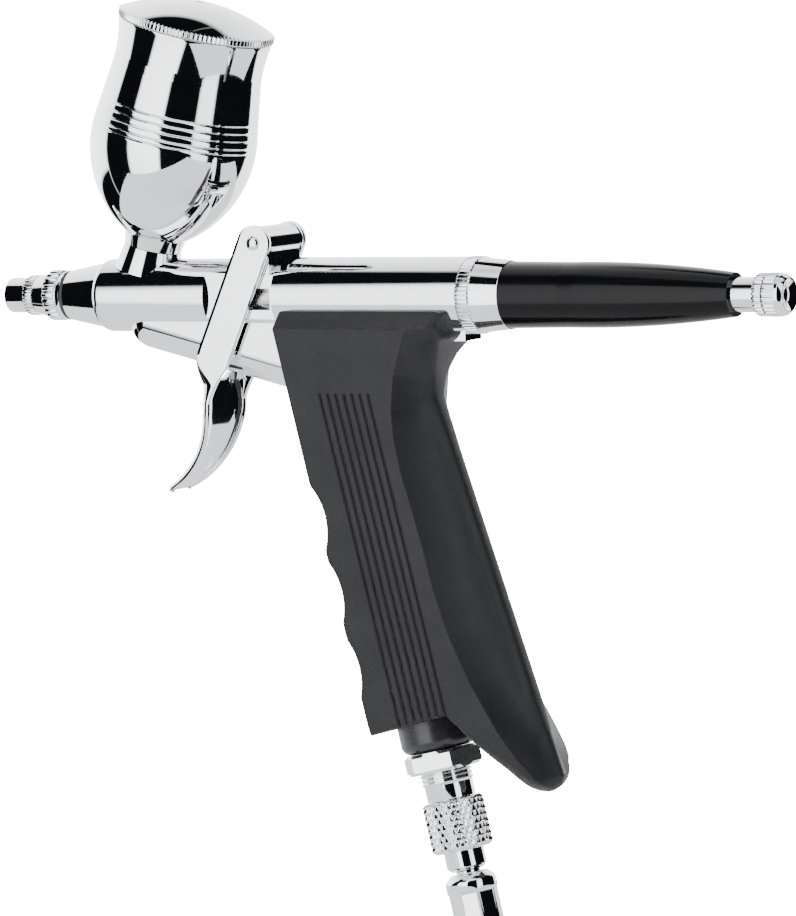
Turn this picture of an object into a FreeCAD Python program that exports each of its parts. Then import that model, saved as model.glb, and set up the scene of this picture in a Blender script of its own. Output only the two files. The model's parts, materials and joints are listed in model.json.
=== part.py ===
"""Pistol-grip airbrush gun: gravity cup, trigger, black tail handle, moulded grip and hose fitting.

Frame: the origin is where the spray leaves, at the centre of the needle cap's front rim.
+X runs back along the needle, +Y to the gun's left, +Z up.  Millimetres throughout.

Most pieces are turned parts, drawn about their own local Z axis and laid on one of three axes:
BARREL (the needle), CUP (the leaning paint cup) and AIR (down through the grip to the hose).
"""
import FreeCAD, Part
import Sketcher
import math
import os
from FreeCAD import Placement, Rotation, Vector

doc = FreeCAD.newDocument("AirbrushGun")
sheet = doc.addObject("Spreadsheet::Sheet", "Sizes")

# ---------------------------------------------------------------- driving dimensions
# Stations (names ending in _at) are measured along the piece's axis: from the spray rim on
# BARREL parts, from the needle on CUP and AIR parts.  Names ending in _r are radii.
SIZES = {
    "gun": {
        "cup_foot_at": 29.2, "cup_lean": 15.5, "air_start_at": 71.2, "air_lean": 12.4,
        "running_gap": 0.05, "trigger_half_width": 7.0,
        "pivot_at": 57.6, "pivot_rise": 10.0,
    },
    "needle_cap": {
        "front_at": 0.0, "mouth_end_at": 1.4, "band_at": 4.4, "end_at": 6.4,
        "mouth_r": 1.9, "rim_r": 2.8, "body_r": 3.3, "band_r": 3.8, "bore_r": 2.65, "round": 0.5,
    },
    "nozzle_cap": {
        "front_at": 1.7, "cone_at": 6.5, "knurl_at": 9.4, "collar_at": 12.0, "end_at": 13.2,
        "cone_end_at": 9.8, "thread_at": 10.9,
        "tip_r": 2.6, "cone_r": 3.7, "cone_end_r": 4.2, "knurl_r": 4.6, "collar_r": 4.75,
        "orifice_r": 0.95, "chamber_r": 3.3, "thread_r": 3.95,
    },
    "nozzle": {
        "tip_at": 1.2, "cone_end_at": 9.5, "thread_at": 11.0, "end_at": 14.6,
        "tip_r": 0.55, "cone_end_r": 1.9, "flange_r": 2.4, "thread_r": 1.8,
        "bore_tip_r": 0.3, "bore_r": 1.0,
    },
    "head_seal": {"front_at": 13.25, "end_at": 13.95, "inner_r": 3.95, "outer_r": 4.55},
    "nose_cone": {
        "front_at": 11.1, "face_at": 14.0, "cone_end_at": 21.7, "shoulder_at": 22.9,
        "end_at": 26.8, "socket_end_at": 14.7,
        "boss_r": 3.88, "face_r": 4.75, "cone_end_r": 6.2, "shoulder_r": 6.78, "spigot_r": 5.0,
        "socket_r": 1.85, "bore_r": 1.0, "shoulder_round": 1.5,
    },
    "main_body": {
        "front_at": 22.95, "pocket_at": 46.2, "pocket_end_at": 61.0, "end_at": 99.75,
        "front_r": 6.8, "rear_r": 7.0, "nose_bore_r": 5.05, "nose_bore_end_at": 27.0,
        "paint_bore_r": 1.2, "packing_bore_at": 37.8, "packing_bore_r": 1.95,
        "slide_bore_at": 48.0, "slide_bore_r": 4.6, "ring_bore_at": 93.0, "ring_bore_r": 5.6,
        "pocket_half_gap": 5.65, "lug_r": 3.0, "lug_half_width": 5.6, "pin_hole_r": 0.8,
        "web_half_length": 2.5, "window_at": 49.8, "window_end_at": 60.0, "window_low": 2.4, "window_high": 1.6,
        "boss_foot_at": 4.5, "boss_foot_r": 6.3, "boss_top_at": 9.3, "boss_top_r": 5.35,
        "cup_socket_at": 6.0, "cup_socket_r": 3.65, "cup_drain_r": 2.0,
        "tang_at": 3.0, "tang_end_at": 30.0, "tang_r": 5.0,
        "stem_hole_r": 0.95, "valve_bore_at": 9.0, "valve_bore_r": 3.2,
        "tail_lug_at": 92.5, "tail_lug_end_at": 99.5, "tail_lug_half_width": 3.0, "tail_lug_drop": 8.2,
    },
    "keel": {"ball_at": 32.0, "ball_drop": 4.95, "end_at": 70.0, "end_drop": 14.4, "bar_r": 5.0},
    "paint_cup": {
        "spigot_at": 6.1, "neck_at": 9.4, "neck_end_at": 11.7, "belly_at": 34.2, "waist_at": 44.0,
        "rim_at": 51.3, "drain_end_at": 12.4,
        "spigot_r": 3.6, "neck_r": 5.3, "neck_end_r": 5.8, "belly_r": 15.1, "waist_r": 13.8,
        "rim_r": 14.5, "drain_r": 2.0, "belly_inner_r": 14.2, "waist_inner_r": 12.9,
        "rim_inner_r": 13.6, "bowl_round": 22.0, "bowl_inner_round": 21.5, "rim_round": 40.0,
    },
    "cup_lid": {
        "skirt_at": 47.5, "rim_at": 51.4, "edge_at": 52.9, "crown_at": 56.4,
        "skirt_r": 12.7, "skirt_inner_r": 11.9, "band_r": 14.7, "edge_r": 14.2,
        "vent_r": 0.7, "dome_round": 32.0, "inside_at": 52.2, "inside_crown_at": 55.4,
    },
    "needle": {"tip_at": 0.6, "taper_end_at": 13.0, "end_at": 126.0, "tip_r": 0.06, "shank_r": 0.65},
    "needle_packing": {"front_at": 38.0, "end_at": 41.8, "outer_r": 1.9, "bore_r": 0.7},
    "packing_screw": {"front_at": 42.0, "end_at": 47.6, "outer_r": 1.9, "bore_r": 0.74},
    "needle_slide": {
        "front_at": 54.2, "cam_at": 67.5, "cam_end_at": 73.0, "seat_at": 76.0, "seat_end_at": 77.0,
        "end_at": 104.0, "piston_r": 4.54, "sleeve_r": 2.5, "seat_r": 4.0, "bore_r": 0.7,
    },
    "chuck_nut": {
        "front_at": 99.0, "socket_end_at": 104.1, "end_at": 108.5,
        "outer_r": 2.95, "socket_r": 2.55, "bore_r": 0.72,
    },
    "needle_spring": {"front_at": 77.05, "end_at": 87.95, "mean_r": 3.35, "wire_r": 0.3, "turns": 5.5},
    "spring_guide": {"front_at": 88.0, "end_at": 97.0, "outer_r": 4.55, "bore_r": 2.56},
    "rear_ring": {
        "front_at": 93.2, "knurl_at": 99.8, "cone_at": 102.5, "end_at": 108.0, "spigot_end_at": 111.8,
        "thread_r": 5.55, "thread_bore_r": 4.6, "knurl_r": 7.1, "cone_r": 6.85, "cone_end_r": 6.25,
        "spigot_r": 4.6, "bore_r": 3.45,
    },
    "handle_sleeve": {
        "front_at": 108.05, "waist_at": 120.0, "end_at": 153.3, "socket_end_at": 112.0,
        "chamber_end_at": 131.0, "bush_bore_at": 140.8,
        "front_r": 6.1, "waist_r": 5.95, "end_r": 4.0, "socket_r": 4.65, "chamber_r": 3.45,
        "link_bore_r": 2.0, "bush_bore_r": 2.75, "taper_round": 220.0,
    },
    "tail_bush": {
        "front_at": 141.0, "shoulder_at": 153.35, "end_at": 157.85,
        "thread_r": 2.7, "rod_r": 3.16, "bore_r": 1.75,
    },
    "stop_screw": {"front_at": 131.6, "end_at": 161.8, "outer_r": 1.69},
    "lock_ring": {"front_at": 158.0, "end_at": 159.85, "outer_r": 3.9, "bore_r": 1.75},
    "preset_knob": {
        "front_at": 160.05, "band_end_at": 162.2, "end_at": 164.0, "outer_r": 3.95, "face_r": 2.6,
        "bore_r": 1.74, "bore_end_at": 161.9, "dimple_r": 1.0, "dimple_at": 163.3, "dome_round": 2.2,
    },
    "pivot_pin": {"shank_r": 0.75, "head_r": 1.4, "head_thickness": 0.6, "arm_gap": 0.06},
    "trigger": {
        "arm_r": 3.3, "hole_r": 0.81, "elbow_at": 45.0, "elbow_drop": 9.6,
        "web_at": 44.2, "web_drop": 15.5, "tip_at": 34.6, "tip_drop": 35.7,
        "heel_at": 50.6, "heel_drop": 13.3, "flange_at": 46.6, "flange_drop": 19.8,
        "tip_back_at": 35.5, "tip_back_drop": 36.6,
        "elbow_round": 14.0, "finger_round": 19.5, "heel_round": 16.0, "back_round": 18.0,
        "tip_half_width": 3.2, "taper_drop": 22.0, "web_top_drop": 15.4, "inner_half_width": 5.8,
        "web_back_at": 45.4, "tip_inside_at": 36.6, "tip_inside_drop": 34.9,
        "clear_front_at": 30.0, "clear_back_at": 75.0, "clear_rise": 20.0, "clear_drop": 40.0,
        "clear_half_width": 9.0,
    },
    "trigger_studs": {"outer_r": 1.0, "inner_end": 2.7, "outer_end": 5.78, "drop": 0.4},
    "valve_plunger": {
        "top_at": 3.6, "head_at": 14.05, "head_end_at": 15.3, "end_at": 18.0,
        "stem_r": 0.88, "head_r": 2.3, "tail_r": 0.8,
    },
    "valve_packing": {"top_at": 9.05, "end_at": 11.0, "outer_r": 3.15, "bore_r": 0.95},
    "valve_seat": {"top_at": 11.05, "end_at": 14.0, "outer_r": 3.15, "bore_r": 1.5},
    "valve_spring": {"top_at": 15.35, "end_at": 20.65, "mean_r": 1.75, "wire_r": 0.25, "turns": 5.0},
    "valve_screw": {"top_at": 20.7, "end_at": 24.0, "outer_r": 3.15, "bore_r": 1.1},
    "air_tube": {"top_at": 24.5, "end_at": 88.8, "outer_r": 3.15, "bore_r": 1.6},
    "grip_collar": {"top_at": 78.5, "end_at": 85.55, "outer_r": 7.0, "bore_r": 3.2,
                    "edge_at": 83.8, "edge_r": 5.4, "edge_round": 1.9},
    "inlet_fitting": {
        "hex_at": 85.6, "hex_end_at": 89.4, "thread_end_at": 91.8, "neck_end_at": 94.8,
        "end_at": 99.0, "hex_corner_r": 7.5, "hex_turn": 11.0,
        "bevel_r": 6.4, "bevel_at": 86.2, "bevel_end_at": 88.8,
        "thread_r": 4.86, "neck_r": 4.5, "spigot_r": 4.0, "socket_r": 3.2, "socket_end_at": 89.0,
        "bore_r": 2.0,
    },
    "hose_nut": {
        "top_at": 94.9, "socket_end_at": 99.3, "lip_at": 102.1, "end_at": 104.4,
        "outer_r": 5.77, "socket_r": 4.07, "chamber_r": 3.8, "lip_r": 2.9,
        "bevel_r": 5.2, "bevel_at": 95.4, "bevel_end_at": 103.8,
    },
    "hose_washer": {"top_at": 99.05, "end_at": 99.45, "outer_r": 3.7, "bore_r": 1.6},
    "hose_tail": {
        "flange_at": 99.5, "flange_end_at": 101.95, "collar_at": 104.5, "collar_end_at": 108.2,
        "barb_end_at": 118.0, "flange_r": 3.7, "stem_r": 2.82, "collar_r": 3.75, "barb_r": 2.3,
        "bore_r": 1.4, "collar_bevel_at": 107.4, "barb_shoulder_r": 2.9,
    },
    "ferrule": {
        "top_at": 108.7, "lip_end_at": 110.2, "end_at": 124.0,
        "outer_r": 4.75, "lip_r": 2.35, "bore_r": 3.8, "mouth_at": 118.6, "mouth_r": 4.1,
        "top_r": 3.5, "shoulder_at": 110.0,
        "top_round": 1.4, "flats_at": 112.0, "crimp_corner_r": 4.85,
    },
    "grip": {
        "top_drop": 2.4, "top_front_at": 62.2, "front_bottom_at": 80.5, "front_bottom_drop": 80.2,
        "heel_at": 96.4, "heel_drop": 75.9, "tail_root_at": 99.4, "tail_root_drop": 78.2,
        "tail_low_at": 109.6, "tail_low_drop": 89.4, "tail_back_at": 115.2, "tail_back_drop": 87.6,
        "waist_at": 92.1, "waist_drop": 18.5, "rear_top_at": 96.4, "rear_top_drop": 7.6,
        "half_width": 10.5, "top_half_width": 6.3, "bevel_drop": 5.5,
        "scallop_round": 12.2, "tail_round": 4.0, "neck_round": 16.0,
        "scoop_r": 14.0, "scoop_at": 99.8, "scoop_drop": 17.0, "scoop_out": 14.1, "scoop_length": 90.0,
        "bevel_clear": 12.0,
        "rib_width": 0.7, "rib_depth": 0.45, "rib_pitch": 1.7, "rib_top_drop": 17.4,
        "rib_top_at": 72.7, "rib_lean": 13.3, "rib_length": 61.0,
        "tang_bore_r": 5.05, "tube_bore_r": 3.3, "recess_r": 7.05,
    },
}

# The trigger arms touch their rounded tops where the leaning edges meet them.
ARM_LEAN = math.radians(24.5)
GUN, TRIGGER, GRIP = SIZES["gun"], SIZES["trigger"], SIZES["grip"]
for side, across in (("front", -1), ("back", 1)):
    TRIGGER["top_" + side + "_at"] = GUN["pivot_at"] + across * TRIGGER["arm_r"] * math.cos(ARM_LEAN)
    TRIGGER["top_" + side + "_rise"] = GUN["pivot_rise"] - across * TRIGGER["arm_r"] * math.sin(ARM_LEAN)
TRIGGER["crown_at"] = GUN["pivot_at"]
TRIGGER["crown_rise"] = GUN["pivot_rise"] + TRIGGER["arm_r"]

# The grip's finger hollows start and end on its straight front edge.
FRONT_SLOPE = ((GRIP["front_bottom_at"] - GRIP["top_front_at"])
               / (GRIP["front_bottom_drop"] - GRIP["top_drop"]))
HOLLOWS = (("first", 34.3, 46.2), ("second", 48.4, 59.4), ("third", 62.6, 73.0))
for hollow, start, end in HOLLOWS:
    for edge, drop in (("top", start), ("end", end)):
        GRIP[hollow + "_" + edge + "_drop"] = drop
        GRIP[hollow + "_" + edge + "_at"] = GRIP["top_front_at"] + FRONT_SLOPE * (drop - GRIP["top_drop"])
RIB_COUNT = 7

row = 0
for part, sizes in SIZES.items():
    for name, value in sizes.items():
        row += 1
        sheet.set("A" + str(row), part + " " + name.replace("_", " "))
        sheet.set("B" + str(row), str(value))
        sheet.setAlias("B" + str(row), part + "_" + name)
doc.recompute()


def size(part, name):
    """The value of a size, read from the sheet.  A name with a dot is another part's size."""
    owner, _, own = name.rpartition(".")
    return float(getattr(sheet, (owner or part) + "_" + own))


def cell(part, name):
    """The expression that binds a property to that size."""
    owner, _, own = name.rpartition(".")
    return "Sizes." + (owner or part) + "_" + own


# ---------------------------------------------------------------- the three axes
def along(direction, at=Vector()):
    """Placement that carries local Z onto a direction in the XZ plane."""
    return Placement(at, Rotation(Vector(0, 0, 1), direction))


CUP_LEAN = math.radians(size("gun", "cup_lean"))
AIR_LEAN = math.radians(size("gun", "air_lean"))
AIR_DIRECTION = Vector(math.sin(AIR_LEAN), 0, -math.cos(AIR_LEAN))
BARREL = Placement(Vector(), Rotation(Vector(0, 1, 0), 90))
CUP = along(Vector(math.sin(CUP_LEAN), 0, math.cos(CUP_LEAN)), Vector(size("gun", "cup_foot_at"), 0, 0))
AIR = Placement(Vector(size("gun", "air_start_at"), 0, 0),
                Rotation(Vector(0, 1, 0), 180 - size("gun", "air_lean")))
UPRIGHT = Placement()


# ---------------------------------------------------------------- building helpers
def plane(body, role):
    return next(f for f in body.Origin.OriginFeatures if f.Role == role)


def new_body(label, placement=UPRIGHT):
    body = doc.addObject("PartDesign::Body", label)
    body.Label = label
    body.Placement = placement
    return body


def arc_centre(start, end, radius):
    """Centre of the arc from start to end.  A positive radius bulges to the right of the run."""
    chord = end - start
    half = chord.Length / 2
    side = Vector(chord.y, -chord.x, 0).normalize()
    reach = math.sqrt(radius * radius - half * half)
    return start + chord * 0.5 - side * math.copysign(reach, radius)


def outline_sketch(body, part, points, role="XZ_Plane", name="Outline"):
    """Closed sketch through points (across, up, radius): the radius, where given, makes the run
    that arrives at the point an arc.  Every coordinate is the name of a size, with an optional
    minus sign, or 0."""
    sketch = body.newObject("Sketcher::SketchObject", body.Name + "_" + name)
    sketch.AttachmentSupport = (plane(body, role), [""])
    sketch.MapMode = "FlatFace"

    def read(entry):
        if entry == 0:
            return 0.0, None
        sign = -1 if entry.startswith("-") else 1
        bare = entry.lstrip("-")
        return sign * size(part, bare), ("-" if sign < 0 else "") + cell(part, bare)

    corners = [(read(p[0]), read(p[1])) for p in points]
    places = [Vector(across[0], up[0], 0) for across, up in corners]
    count = len(points)
    for i in range(count):
        start, end = places[i], places[(i + 1) % count]
        bend = points[(i + 1) % count][2:]
        if not bend:
            sketch.addGeometry(Part.LineSegment(start, end))
            continue
        radius = read(bend[0])[0]
        centre = arc_centre(start, end, radius)
        a, b = start - centre, end - centre
        first, last = math.atan2(a.y, a.x), math.atan2(b.y, b.x)
        circle = Part.Circle(centre, Vector(0, 0, 1), abs(radius))
        if radius > 0:
            sketch.addGeometry(Part.ArcOfCircle(circle, first, last))
        else:
            sketch.addGeometry(Part.ArcOfCircle(circle, last, first))

    def end_of(i, which):
        """Vertex number of a run's start (1) or end (2): an arc drawn backwards swaps them."""
        bend = points[(i + 1) % count][2:]
        flipped = bool(bend) and read(bend[0])[0] < 0
        return (3 - which) if flipped else which

    for i in range(count):
        after = (i + 1) % count
        sketch.addConstraint(Sketcher.Constraint("Coincident", i, end_of(i, 2), after, end_of(after, 1)))
    for i, (across, up) in enumerate(corners):
        for kind, (value, expression), axis in (("DistanceX", across, -2), ("DistanceY", up, -1)):
            if expression is None:
                sketch.addConstraint(Sketcher.Constraint("PointOnObject", i, end_of(i, 1), axis))
                continue
            made = sketch.addConstraint(Sketcher.Constraint(kind, -1, 1, i, end_of(i, 1), value))
            sketch.setExpression("Constraints[" + str(made) + "]", expression)
        bend = points[(i + 1) % count][2:]
        if bend:
            value = abs(read(bend[0])[0])
            made = sketch.addConstraint(Sketcher.Constraint("Radius", i, value))
            sketch.setExpression("Constraints[" + str(made) + "]", cell(part, bend[0].lstrip("-")))
    return sketch


def turned(part, placement, points, label=None):
    """A lathe part: an outline of (radius, station) points spun about the local Z axis."""
    body = new_body(label or part, placement)
    sketch = outline_sketch(body, part, points)
    spin = body.newObject("PartDesign::Revolution", body.Name + "_Spin")
    spin.Profile = sketch
    spin.ReferenceAxis = (sketch, ["V_Axis"])
    spin.Angle = 360
    return body


def tube(part, placement, start, end, inner, outer):
    return turned(part, placement, [(inner, start), (outer, start), (outer, end), (inner, end)])


def primitive(kind, name, placement, **bindings):
    """A Part primitive whose sizes are bound to expressions."""
    solid = doc.addObject("Part::" + kind, name)
    for key, expression in bindings.items():
        solid.setExpression(key, expression)
    solid.Placement = placement
    return solid


def cut(label, base, tools):
    joined = tools[0]
    if len(tools) > 1:
        joined = doc.addObject("Part::MultiFuse", label + "_tools")
        joined.Shapes = tools
    result = doc.addObject("Part::Cut", label)
    result.Base, result.Tool = base, joined
    result.Label = label
    return result


def fuse(name, solids):
    result = doc.addObject("Part::MultiFuse", name)
    result.Shapes = solids
    return result


def box(name, low, high):
    """A Part::Box between two corners, each a triple of expressions."""
    solid = doc.addObject("Part::Box", name)
    for key, axis in (("Length", 0), ("Width", 1), ("Height", 2)):
        solid.setExpression(key, "(" + high[axis] + ") - (" + low[axis] + ")")
    for key, axis in (("x", 0), ("y", 1), ("z", 2)):
        solid.setExpression(".Placement.Base." + key, low[axis])
    return solid


def shifted(placement, station):
    """A placement moved along its own local Z."""
    return placement.multiply(Placement(Vector(0, 0, station), Rotation()))


def spring(part, placement):
    """A round-wire helical spring, drawn about the local Z axis."""
    wire_r, mean_r = size(part, "wire_r"), size(part, "mean_r")
    starts = "top_at" if "top_at" in SIZES[part] else "front_at"
    low, high = size(part, starts) + wire_r, size(part, "end_at") - wire_r
    path = Part.makeHelix((high - low) / size(part, "turns"), high - low, mean_r)
    ring = Part.Wire(Part.makeCircle(wire_r, Vector(mean_r, 0, 0), Vector(0, 1, 0)))
    coil = Part.Wire(path).makePipeShell([ring], True, True)
    solid = doc.addObject("Part::Feature", part)
    solid.Label = part
    solid.Shape = coil
    solid.Placement = shifted(placement, low)
    return solid


# ---------------------------------------------------------------- spray head
def build_head():
    turned("needle_cap", BARREL, [
        ("mouth_r", "front_at"), ("rim_r", "front_at"), ("body_r", "needle_cap.round", "round"),
        ("body_r", "band_at"), ("band_r", "band_at"), ("band_r", "end_at"), ("bore_r", "end_at"),
        ("bore_r", "mouth_end_at"), ("mouth_r", "mouth_end_at")])
    turned("nozzle_cap", BARREL, [
        ("orifice_r", "front_at"), ("tip_r", "front_at"), ("tip_r", "cone_at"), ("cone_r", "cone_at"),
        ("cone_end_r", "knurl_at"), ("knurl_r", "knurl_at"), ("knurl_r", "collar_at"),
        ("collar_r", "collar_at"), ("collar_r", "end_at"), ("thread_r", "end_at"),
        ("thread_r", "thread_at"), ("chamber_r", "thread_at"), ("chamber_r", "cone_end_at")])
    turned("nozzle", BARREL, [
        ("bore_tip_r", "tip_at"), ("tip_r", "tip_at"), ("cone_end_r", "cone_end_at"),
        ("flange_r", "cone_end_at"), ("flange_r", "thread_at"), ("thread_r", "thread_at"),
        ("thread_r", "end_at"), ("bore_r", "end_at"), ("bore_r", "cone_end_at")])
    tube("head_seal", BARREL, "front_at", "end_at", "inner_r", "outer_r")
    turned("nose_cone", BARREL, [
        ("socket_r", "front_at"), ("boss_r", "front_at"), ("boss_r", "face_at"), ("face_r", "face_at"),
        ("cone_end_r", "cone_end_at"), ("shoulder_r", "shoulder_at", "shoulder_round"),
        ("spigot_r", "shoulder_at"), ("spigot_r", "end_at"), ("bore_r", "end_at"),
        ("bore_r", "socket_end_at"), ("socket_r", "socket_end_at")])


# ---------------------------------------------------------------- barrel and lower body
def build_keel(label):
    """The air passage housing under the barrel: a ball-ended round bar that slopes down and back,
    with flat sides up to the barrel."""
    start = Vector(size("keel", "ball_at"), 0, -size("keel", "ball_drop"))
    end = Vector(size("keel", "end_at"), 0, -size("keel", "end_drop"))
    radius = cell("keel", "bar_r")
    ball = primitive("Sphere", label + "_ball", Placement(start, Rotation()), Radius=radius)
    bar = primitive("Cylinder", label + "_bar", along(end - start, start), Radius=radius)
    bar.Height = (end - start).Length
    neck = primitive("Cylinder", label + "_neck", Placement(start, Rotation()), Radius=radius,
                     Height=cell("keel", "ball_drop"))
    sides = new_body(label + "_sides")
    outline = outline_sketch(sides, "keel", [
        ("ball_at", "-ball_drop"), ("end_at", "-end_drop"), ("end_at", 0), ("ball_at", 0)])
    pad = sides.newObject("PartDesign::Pad", label + "_pad")
    pad.Profile = outline
    pad.Midplane = True
    pad.setExpression("Length", "2 * " + radius)
    return fuse(label, [ball, bar, neck, sides])


def across_y(x, z, half_width):
    """Placement of a cylinder that lies along Y, centred on the gun's middle plane."""
    return Placement(Vector(x, half_width, z), Rotation(Vector(1, 0, 0), 90))


def build_main_body():
    name = "main_body"
    pivot_x, pivot_z = size("gun", "pivot_at"), size("gun", "pivot_rise")
    half = size(name, "lug_half_width")
    barrel = turned(name, BARREL, [
        (0, "front_at"), ("front_r", "front_at"), ("front_r", "pocket_at"), ("rear_r", "pocket_end_at"),
        ("rear_r", "end_at"), (0, "end_at")], label="barrel_blank")
    keel = build_keel("keel_blank")
    lug = primitive("Cylinder", "pivot_lug", across_y(pivot_x, pivot_z, half),
                    Radius=cell(name, "lug_r"), Height="2 * " + cell(name, "lug_half_width"))
    pivot, rise, wide = cell("gun", "pivot_at"), cell("gun", "pivot_rise"), cell(name, "lug_half_width")
    web_half = cell(name, "web_half_length")
    web = box("pivot_web", (pivot + " - " + web_half, "-" + wide, "0"), (pivot + " + " + web_half, wide, rise))
    boss = primitive("Cone", "cup_boss", shifted(CUP, size(name, "boss_foot_at")),
                     Radius1=cell(name, "boss_foot_r"), Radius2=cell(name, "boss_top_r"),
                     Height=cell(name, "boss_top_at") + " - " + cell(name, "boss_foot_at"))
    tang = primitive("Cylinder", "valve_tang", shifted(AIR, size(name, "tang_at")),
                     Radius=cell(name, "tang_r"),
                     Height=cell(name, "tang_end_at") + " - " + cell(name, "tang_at"))
    side = cell(name, "tail_lug_half_width")
    tail_lug = box("tail_lug", (cell(name, "tail_lug_at"), "-" + side, "-" + cell(name, "tail_lug_drop")),
                   (cell(name, "tail_lug_end_at"), side, "-" + cell(name, "slide_bore_r")))
    solid = fuse("body_solid", [barrel, keel, lug, web, boss, tang, tail_lug])

    bores = turned(name, BARREL, [
        (0, "gun.running_gap"), ("nose_bore_r", "gun.running_gap"), ("nose_bore_r", "nose_bore_end_at"),
        ("paint_bore_r", "nose_bore_end_at"), ("paint_bore_r", "packing_bore_at"),
        ("packing_bore_r", "packing_bore_at"), ("packing_bore_r", "slide_bore_at"),
        ("slide_bore_r", "slide_bore_at"), ("slide_bore_r", "ring_bore_at"),
        ("ring_bore_r", "ring_bore_at"), ("ring_bore_r", "rear_ring.end_at"), (0, "rear_ring.end_at")],
        label="barrel_bores")
    cup_bores = turned(name, CUP, [
        (0, 0), ("cup_drain_r", 0), ("cup_drain_r", "cup_socket_at"), ("cup_socket_r", "cup_socket_at"),
        ("cup_socket_r", "paint_cup.rim_at"), (0, "paint_cup.rim_at")], label="cup_bores")
    valve_bores = turned(name, AIR, [
        (0, "tang_at"), ("stem_hole_r", "tang_at"), ("stem_hole_r", "valve_bore_at"),
        ("valve_bore_r", "valve_bore_at"), ("valve_bore_r", "air_tube.end_at"),
        (0, "air_tube.end_at")], label="valve_bores")
    pin_hole = primitive("Cylinder", "pin_hole", across_y(pivot_x, pivot_z, 2 * half),
                         Radius=cell(name, "pin_hole_r"), Height="4 * " + wide)
    tools = [bores, cup_bores, valve_bores, pin_hole]
    flat, rear = cell(name, "pocket_half_gap"), cell(name, "rear_r")
    for tag, low, high in (("left", flat, "2 * " + rear), ("right", "-2 * " + rear, "-" + flat)):
        tools.append(box("pocket_" + tag, (cell(name, "pocket_at"), low, "-" + rear),
                         (cell(name, "pocket_end_at"), high, "2 * " + rear)))
    tools.append(box("stud_window", (cell(name, "window_at"), "-" + rear, "-" + cell(name, "window_low")),
                     (cell(name, "window_end_at"), rear, cell(name, "window_high"))))
    return cut(name, solid, tools)


# ---------------------------------------------------------------- paint cup
def build_cup():
    turned("paint_cup", CUP, [
        ("drain_r", "spigot_at"), ("spigot_r", "spigot_at"), ("spigot_r", "neck_at"),
        ("neck_r", "neck_at"), ("neck_end_r", "neck_end_at"), ("belly_r", "belly_at", "bowl_round"),
        ("waist_r", "waist_at"), ("rim_r", "rim_at", "-rim_round"), ("rim_inner_r", "rim_at"),
        ("waist_inner_r", "waist_at", "rim_round"), ("belly_inner_r", "belly_at"),
        ("drain_r", "drain_end_at", "-bowl_inner_round")])
    turned("cup_lid", CUP, [
        ("skirt_inner_r", "skirt_at"), ("skirt_r", "skirt_at"), ("skirt_r", "rim_at"),
        ("band_r", "rim_at"), ("band_r", "edge_at"), ("edge_r", "edge_at"),
        ("vent_r", "crown_at", "dome_round"), ("vent_r", "inside_crown_at"),
        ("skirt_inner_r", "inside_at", "-dome_round")])


# ---------------------------------------------------------------- needle and its spring
def build_needle_train():
    turned("needle", BARREL, [
        (0, "tip_at"), ("tip_r", "tip_at"), ("shank_r", "taper_end_at"), ("shank_r", "end_at"),
        (0, "end_at")])
    tube("needle_packing", BARREL, "front_at", "end_at", "bore_r", "outer_r")
    tube("packing_screw", BARREL, "front_at", "end_at", "bore_r", "outer_r")
    turned("needle_slide", BARREL, [
        ("bore_r", "front_at"), ("piston_r", "front_at"), ("piston_r", "cam_at"),
        ("sleeve_r", "cam_end_at"), ("sleeve_r", "seat_at"), ("seat_r", "seat_at"),
        ("seat_r", "seat_end_at"), ("sleeve_r", "seat_end_at"), ("sleeve_r", "end_at"),
        ("bore_r", "end_at")])
    turned("chuck_nut", BARREL, [
        ("socket_r", "front_at"), ("outer_r", "front_at"), ("outer_r", "end_at"), ("bore_r", "end_at"),
        ("bore_r", "socket_end_at"), ("socket_r", "socket_end_at")])
    spring("needle_spring", BARREL)
    tube("spring_guide", BARREL, "front_at", "end_at", "bore_r", "outer_r")


# ---------------------------------------------------------------- tail: ring, handle and preset knob
def build_tail():
    turned("rear_ring", BARREL, [
        ("thread_bore_r", "front_at"), ("thread_r", "front_at"), ("thread_r", "knurl_at"),
        ("knurl_r", "knurl_at"), ("knurl_r", "cone_at"), ("cone_r", "cone_at"), ("cone_end_r", "end_at"),
        ("spigot_r", "end_at"), ("spigot_r", "spigot_end_at"), ("bore_r", "spigot_end_at"),
        ("bore_r", "knurl_at"), ("thread_bore_r", "knurl_at")])
    turned("handle_sleeve", BARREL, [
        ("socket_r", "front_at"), ("front_r", "front_at"), ("waist_r", "waist_at"),
        ("end_r", "end_at", "taper_round"), ("bush_bore_r", "end_at"), ("bush_bore_r", "bush_bore_at"),
        ("link_bore_r", "bush_bore_at"), ("link_bore_r", "chamber_end_at"),
        ("chamber_r", "chamber_end_at"), ("chamber_r", "socket_end_at"), ("socket_r", "socket_end_at")])
    turned("tail_bush", BARREL, [
        ("bore_r", "front_at"), ("thread_r", "front_at"), ("thread_r", "shoulder_at"),
        ("rod_r", "shoulder_at"), ("rod_r", "end_at"), ("bore_r", "end_at")])
    turned("stop_screw", BARREL, [
        (0, "front_at"), ("outer_r", "front_at"), ("outer_r", "end_at"), (0, "end_at")])
    tube("lock_ring", BARREL, "front_at", "end_at", "bore_r", "outer_r")
    turned("preset_knob", BARREL, [
        ("bore_r", "front_at"), ("outer_r", "front_at"), ("outer_r", "band_end_at"),
        ("face_r", "end_at", "dome_round"), ("dimple_r", "end_at"), (0, "dimple_at"), (0, "bore_end_at"),
        ("bore_r", "bore_end_at")])


# ---------------------------------------------------------------- trigger
def pocket(body, sketch, width, name):
    """A pocket cut evenly both ways from the sketch's plane."""
    made = body.newObject("PartDesign::Pocket", name)
    made.Profile = sketch
    made.Midplane = True
    made.setExpression("Length", width)
    return made


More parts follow.
